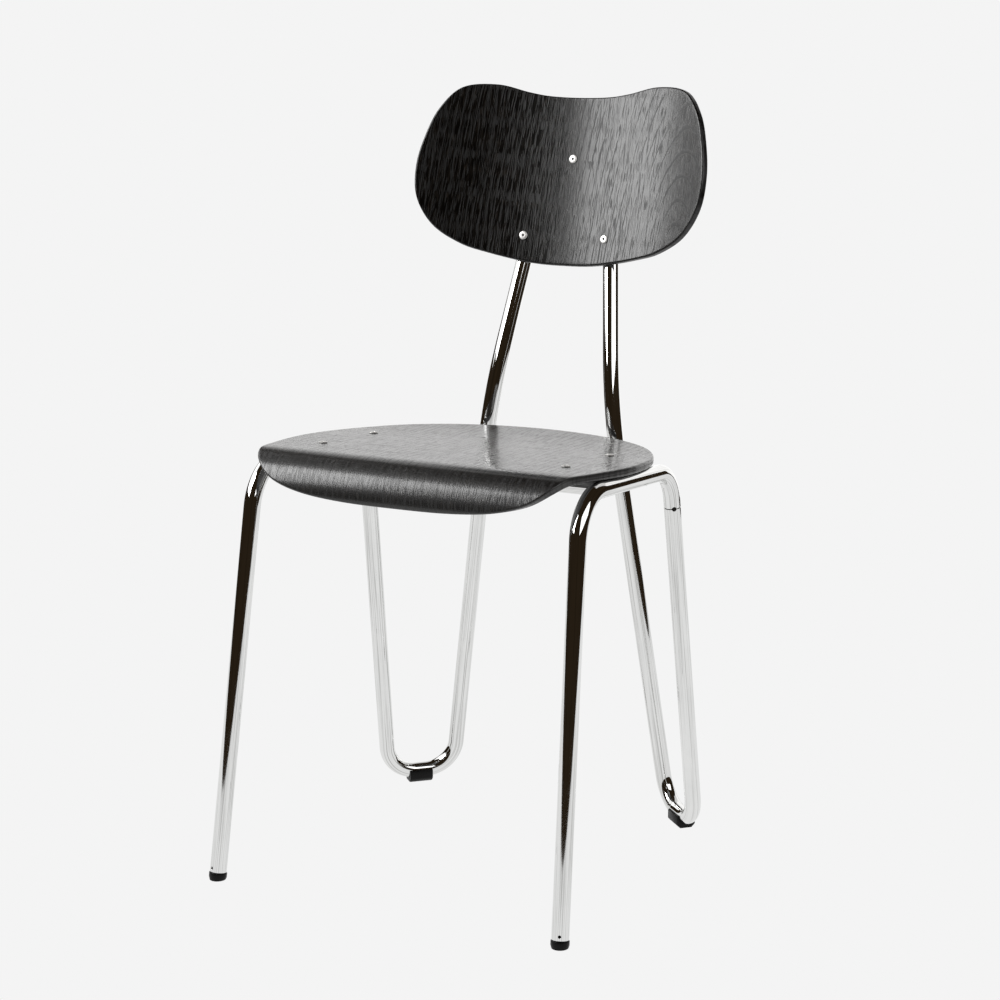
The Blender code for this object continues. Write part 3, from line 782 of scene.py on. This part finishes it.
def smooth_outline(half, per_span=16):
    """A closed Catmull-Rom curve through a half outline and its mirror image."""
    points = [*half, *[(-x, y) for x, y in reversed(half[1:-1])]]
    count = len(points)
    curve = []
    for i in range(count):
        p0, p1, p2, p3 = (np.array(points[(i + k) % count]) for k in (-1, 0, 1, 2))
        for t in np.arange(per_span) / per_span:
            bend = 2 * p0 - 5 * p1 + 4 * p2 - p3
            twist = 3 * p1 - p0 - 3 * p2 + p3
            curve.append(0.5 * (2 * p1 + (p2 - p0) * t + bend * t * t + twist * t**3))
    return np.array(curve)


def shrunk(curve, inset):
    """The closed curve moved inwards by inset."""
    tangent = np.roll(curve, -1, 0) - np.roll(curve, 1, 0)
    tangent /= np.linalg.norm(tangent, axis=1)[:, None]
    return curve + np.stack([-tangent[:, 1], tangent[:, 0]], 1) * inset


def grid_layout(curve):
    """Square grid points pressed round to fill a closed curve, as an array [row, column, 2]."""
    centre = np.array((0.0, (curve[:, 1].min() + curve[:, 1].max()) / 2))
    offsets = curve - centre
    angles = np.arctan2(offsets[:, 1], offsets[:, 0])
    order = np.argsort(angles)
    reach = np.hypot(offsets[:, 0], offsets[:, 1])
    steps = np.linspace(-1.0, 1.0, SHELL_CELLS + 1)
    u, v = np.meshgrid(steps, steps)
    across, along = u * np.sqrt(1 - v * v / 2), v * np.sqrt(1 - u * u / 2)
    edge = np.interp(np.arctan2(along, across), angles[order], reach[order], period=2 * math.pi)
    return np.stack([centre[0] + across * edge, centre[1] + along * edge], -1)


def rim_order():
    """The grid's (row, column) places round its rim, anticlockwise."""
    n = SHELL_CELLS
    low = [(0, k) for k in range(n)]
    right = [(k, n) for k in range(n)]
    top = [(n, n - k) for k in range(n)]
    left = [(n - k, 0) for k in range(n)]
    return low + right + top + left


def shell_mesh(name, half, place, thickness):
    """A pressed sheet with rounded edges: place(across, along) bends its top face."""
    curve = smooth_outline(half)
    if np.cross(curve[1] - curve[0], curve[len(curve) // 4] - curve[0]) < 0:
        curve = curve[::-1]
    grid = grid_layout(shrunk(curve, EDGE_FILLET))
    rim = np.array([grid[r, c] for r, c in rim_order()])
    tangent = np.roll(rim, -1, 0) - np.roll(rim, 1, 0)
    tangent /= np.linalg.norm(tangent, axis=1)[:, None]
    outward = np.stack([tangent[:, 1], -tangent[:, 0]], 1)
    lay = []

    def raised(spot, depth):
        small = 1e-4
        point = place(*spot)
        normal = (place(spot[0] + small, spot[1]) - point).cross(place(spot[0], spot[1] + small) - point)
        lay.append((spot[0], spot[1], depth))
        return point - normal.normalized() * depth

    bm = bmesh.new()
    n = SHELL_CELLS
    faces = []
    for depth in (0.0, thickness):
        faces.append([[bm.verts.new(raised(grid[r, c], depth)) for c in range(n + 1)] for r in range(n + 1)])
    for rows in faces:
        for r in range(n):
            for c in range(n):
                bm.faces.new((rows[r][c], rows[r][c + 1], rows[r + 1][c + 1], rows[r + 1][c]))
    turns = [math.pi / 2 * k / FILLET_STEPS for k in range(1, FILLET_STEPS + 1)]
    band = [(EDGE_FILLET * math.sin(t), EDGE_FILLET * (1 - math.cos(t))) for t in turns]
    middle = [(EDGE_FILLET, d) for d in np.linspace(EDGE_FILLET, thickness - EDGE_FILLET, 5)[1:-1]]
    under = [(reach, thickness - depth) for reach, depth in reversed(band)]
    loops = [[faces[0][r][c] for r, c in rim_order()]]
    for reach, depth in band + middle + under:
        loops.append([bm.verts.new(raised(spot + out * reach, depth)) for spot, out in zip(rim, outward)])
    loops.append([faces[1][r][c] for r, c in rim_order()])
    for a, b in zip(loops, loops[1:]):
        for k in range(len(a)):
            m = (k + 1) % len(a)
            bm.faces.new((a[k], a[m], b[m], b[k]))
    mesh = mesh_from(bm, name)
    store_lay(mesh, lay)
    return mesh


# Rivets and feet


def rivet_cutter(place, outward, thickness):
    hole = rod_mesh("hole", RIVET_HOLE_RADIUS, -thickness - TUBE_RADIUS / 2, TUBE_RADIUS)
    hole.transform(frame_along(place, outward))
    return hole


def make_rivet(name, place, outward, thickness):
    """A set blind rivet, from its low domed head to its folded tail, and the broken mandrel in it."""
    grip = thickness + GAP + TUBE_WALL + RIVET_SPARE
    tail = grip + RIVET_TAIL_LENGTH
    rise, rim, bore = RIVET_HEAD_HEIGHT, RIVET_HEAD_RADIUS, MANDREL_BORE_RADIUS
    inner_rim, inner_tail = rim - RIVET_RIM_ROUNDING, RIVET_TAIL_RADIUS - RIVET_TAIL_ROUNDING
    profile = [
        (bore, GAP + rise * 0.70), (bore + 0.0002, GAP + rise * 0.96), (bore + 0.0005, GAP + rise),
        (rim * 0.58, GAP + rise * 0.98), (rim * 0.74, GAP + rise * 0.90), (rim * 0.88, GAP + rise * 0.70),
        *arc(inner_rim, GAP + 0.0004, RIVET_RIM_ROUNDING, 60, -60), (inner_rim, GAP),
        (RIVET_SHANK_RADIUS, GAP), (RIVET_SHANK_RADIUS, -grip),
        *arc(inner_tail, -grip - 0.0015, RIVET_TAIL_ROUNDING, 70, -70, 6),
        (RIVET_SHANK_RADIUS, -tail), (bore, -tail),
    ]
    matrix = frame_along(place, outward)
    mesh = turned_mesh(name, profile)
    mesh.transform(matrix)
    finish_piece(f"{name}_fine", mesh, RIVET_STEEL, name)
    top, below, ball = GAP + rise * 0.55, -tail - GAP, MANDREL_BALL_RADIUS
    stem = [
        (0.0, top - 0.0002), (MANDREL_RADIUS * 0.5, top), (MANDREL_RADIUS * 0.9, top - 0.0001),
        (MANDREL_RADIUS, top - 0.0003), (MANDREL_RADIUS, below), (ball, below),
        (ball * 0.95, below - 0.0006), (ball * 0.7, below - 0.0011), (0.0, below - 0.0014),
    ]
    mesh = turned_mesh(f"{name}_mandrel", stem)
    mesh.transform(matrix)
    finish_piece(f"{name}_mandrel_fine", mesh, DARK_STEEL, f"{name}_mandrel")


def make_front_cap(side, word):
    """A plug in the front leg's end, its flange cut level with the floor."""
    leg = leg_direction(side)
    end = side_of(point_at_height(FRONT_FOOT, RAIL_FRONT, TUBE_END_Z), side) - leg * GAP
    plug = TUBE_RADIUS - TUBE_WALL - GAP
    profile = [
        (0.0, CAP_STEM), *arc(plug - STEM_ROUNDING, CAP_STEM - STEM_ROUNDING, STEM_ROUNDING, 90, 0),
        (plug, 0.0), *arc(CAP_RADIUS - CAP_ROUNDING, -CAP_ROUNDING, CAP_ROUNDING, 90, 0),
        (CAP_RADIUS, -CAP_FLANGE), (CAP_RADIUS - CAP_TAPER, -CAP_SKIRT), (0.0, -CAP_SKIRT),
    ]
    mesh = turned_mesh(f"cap_{word}", profile)
    mesh.transform(frame_along(end, leg))
    bm = bmesh.new()
    bm.from_mesh(mesh)
    geometry = [*bm.verts, *bm.edges, *bm.faces]
    bmesh.ops.bisect_plane(bm, geom=geometry, plane_co=(0, 0, 0), plane_no=(0, 0, 1), clear_inner=True)
    bmesh.ops.holes_fill(bm, edges=bm.edges, sides=0)
    mesh = mesh_from(bm, f"cap_{word}", TURNED_CREASE)
    finish_piece(f"front_cap_{word}_fine", mesh, PLASTIC, f"front_foot_cap_{word}")


def make_rear_glide(side, word):
    """A clip under the bottom of a hairpin, with a flat pad and two lips that hug the tube."""
    outer, inner = side_of(HAIRPIN_OUTER, side), side_of(HAIRPIN_INNER, side)
    along = (inner - outer).normalized()
    middle = (outer + inner) / 2 - along * GLIDE_SHIFT
    section = [
        (GLIDE_HALF_BASE - 0.0008, 0.0), (GLIDE_HALF_BASE, GLIDE_CHAMFER),
        (GLIDE_HALF_WIDTH - 0.0003, GLIDE_SHOULDER - 0.001),
        (GLIDE_HALF_WIDTH, GLIDE_SHOULDER), (GLIDE_HALF_WIDTH, GLIDE_TOP - 0.0015),
        (GLIDE_HALF_WIDTH - 0.0004, GLIDE_TOP - 0.0005), (GLIDE_HALF_WIDTH - 0.0012, GLIDE_TOP),
    ]
    section += [(-x, z) for x, z in reversed(section)]
    bm = bmesh.new()
    rings = []
    for place, inset in ((-0.5, GLIDE_CHAMFER), (-0.46, 0.0), (0.46, 0.0), (0.5, GLIDE_CHAMFER)):
        z = place * GLIDE_LENGTH
        spots = [(x - math.copysign(inset, x), max(y, inset * 0.5), z) for x, y in section]
        rings.append([bm.verts.new(spot) for spot in spots])
    for a, b in zip(rings, rings[1:]):
        for k in range(len(section)):
            n = (k + 1) % len(section)
            bm.faces.new((a[k], a[n], b[n], b[k]))
    bm.faces.new(rings[0])
    bm.faces.new(rings[-1])
    mesh = mesh_from(bm, f"glide_{word}")
    mesh.transform(frame_along(Vector((middle.x, middle.y, 0.0)), along))
    ends = [point_at_height(HAIRPIN_OUTER, RAIL_REAR, GLIDE_REACH_Z), HAIRPIN_OUTER]
    ends += [HAIRPIN_INNER, point_at_height(HAIRPIN_INNER, UPRIGHT_BEND, GLIDE_REACH_Z)]
    path = rounded_path([side_of(p, side) for p in ends], (HAIRPIN_BEND, HAIRPIN_BEND))
    core = tube_mesh("core", path, TUBE_RADIUS + GAP, TUBE_RADIUS + GAP - 0.0001)
    mesh = cut(mesh, [core])
    bm = bmesh.new()
    bm.from_mesh(mesh)
    mesh = mesh_from(bm, f"glide_{word}", TUBE_CREASE)
    finish_piece(f"rear_glide_{word}_fine", mesh, PLASTIC, f"rear_glide_{word}")


# The chair


def build_shells_and_rivets():
    seat_cutters, back_cutters = [], []
    for where, y in CROSS_Y.items():
        top = rail_centre(y) + SEAT_UP * (TUBE_RADIUS + GAP + SEAT_THICKNESS)
        for side, word in SIDES:
            place = Vector((side * SEAT_RIVET_X, top.y, top.z))
            make_rivet(f"seat_rivet_{where}_{word}", place, SEAT_UP, SEAT_THICKNESS)
            seat_cutters.append(rivet_cutter(place, SEAT_UP, SEAT_THICKNESS))
    seat = cut(shell_mesh("seat", SEAT_OUTLINE, seat_point, SEAT_THICKNESS), seat_cutters)
    finish_piece("seat_veneered", seat, SEAT_PLY, "seat_shell")
    make_rivet("back_rivet_top", BACK_TOP_RIVET, BACK_FORWARD, BACK_THICKNESS)
    back_cutters.append(rivet_cutter(BACK_TOP_RIVET, BACK_FORWARD, BACK_THICKNESS))
    ratio = BACK_FRONT_RADIUS / (BACK_FRONT_RADIUS + BACK_THICKNESS + TUBE_RADIUS)
    for side, word in SIDES:
        across = side * (UPRIGHT_AT_RIVETS.x * ratio + LOWER_RIVET_SPREAD)
        place = back_point(across, 0.0)
        make_rivet(f"back_rivet_{word}", place, back_normal(across), BACK_THICKNESS)
        back_cutters.append(rivet_cutter(place, back_normal(across), BACK_THICKNESS))
    back = cut(shell_mesh("back", BACK_OUTLINE, back_point, BACK_THICKNESS), back_cutters)
    finish_piece("backrest_veneered", back, BACK_PLY, "backrest_shell")


def build_chair():
    make_loop_tube()
    for side, word in SIDES:
        make_side_tube(side, word)
        make_pin(side, word)
        make_front_cap(side, word)
        make_rear_glide(side, word)
        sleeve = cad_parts[f"joint_sleeve_{word}"]
        sleeve.data.materials.clear()
        sleeve.data.materials.append(RIVET_STEEL)
    for where, y in CROSS_Y.items():
        make_cross_tube(where, y)
        for side, word in SIDES:
            make_weld(where, y, side, word)
    build_shells_and_rivets()


# Studio


def make_floor():
    """A pale light table, a little dimmer towards the camera, whose far edge is a horizon in the chrome."""
    bm = bmesh.new()
    bmesh.ops.create_circle(bm, cap_ends=True, segments=96, radius=FLOOR_RADIUS)
    mesh = bpy.data.meshes.new("floor")
    bm.to_mesh(mesh)
    bm.free()
    floor = bpy.data.objects.new("floor", mesh)
    floor.location.z = -FLOOR_DROP
    CHAIR.objects.link(floor)
    material = bpy.data.materials.new("pale_table")
    material.use_nodes = True
    tree = material.node_tree
    tree.nodes.remove(tree.nodes["Principled BSDF"])
    place = add(tree, "TexCoord").outputs["Object"]
    frontward = add(tree, "VectorMath", {"operation": "DOT_PRODUCT"}, i0=place, i1=CAMERA_SIDE)
    strength = remap(tree, frontward.outputs["Value"], FADE_START, FADE_END, PALE, PALE * FLOOR_FADE)
    glow = add(tree, "Emission", Color=(1.0, 1.0, 1.0, 1.0), Strength=strength)
    tree.links.new(glow.outputs[0], tree.nodes["Material Output"].inputs["Surface"])
    mesh.materials.append(material)


def make_world():
    """A dark room round the lights, and a pale backdrop where the camera looks straight at it."""
    world = bpy.data.worlds.new("studio")
    bpy.context.scene.world = world
    world.use_nodes = True
    tree = world.node_tree
    backdrop = tree.nodes["Background"]
    backdrop.inputs["Color"].default_value = (1.0, 1.0, 1.0, 1.0)
    backdrop.inputs["Strength"].default_value = PALE
    room = add(tree, "Background", Color=(*ROOM_TINT, 1.0), Strength=DARK)
    seen = add(tree, "LightPath").outputs["Is Camera Ray"]
    both = add(tree, "MixShader", i0=seen, i1=room.outputs[0], i2=backdrop.outputs[0])
    tree.links.new(both.outputs[0], tree.nodes["World Output"].inputs["Surface"])


def make_softbox(name, start, end, low, high, radiance):
    """An upright rectangle of even light over two floor points, from height low to high, facing the chair."""
    start, end = Vector((*start, 0.0)), Vector((*end, 0.0))
    middle = (start + end) / 2 + Vector((0.0, 0.0, (low + high) / 2))
    width, height = (end - start).length, high - low
    light = bpy.data.lights.new(name, "AREA")
    light.shape = "RECTANGLE"
    light.size, light.size_y = width, height
    light.energy = radiance * math.pi * width * height
    across = (end - start).normalized()
    facing = across.cross(Vector((0.0, 0.0, 1.0)))
    if facing.dot(middle) > 0:
        facing = -facing
    box = bpy.data.objects.new(name, light)
    box.matrix_world = frame_along(middle, -facing)
    box.visible_camera = False
    CHAIR.objects.link(box)


def make_studio():
    make_floor()
    make_world()
    for name, (start, end, low, high, radiance) in SOFTBOXES.items():
        make_softbox(name, start, end, low, high, radiance)


def make_camera():
    data = bpy.data.cameras.new("photo_camera")
    data.sensor_width = 36.0
    data.lens = CAMERA_LENS
    data.clip_start, data.clip_end = 0.05, 50.0
    camera = bpy.data.objects.new("photo_camera", data)
    camera.location = (CAMERA_X, FRONT_FOOT.y - CAMERA_BACK, CAMERA_Z)
    camera.rotation_euler = (CAMERA_TILT, 0.0, CAMERA_TURN)
    CHAIR.objects.link(camera)
    bpy.context.scene.camera = camera
    bpy.context.scene.view_settings.view_transform = "Standard"


build_chair()
make_studio()
make_camera()
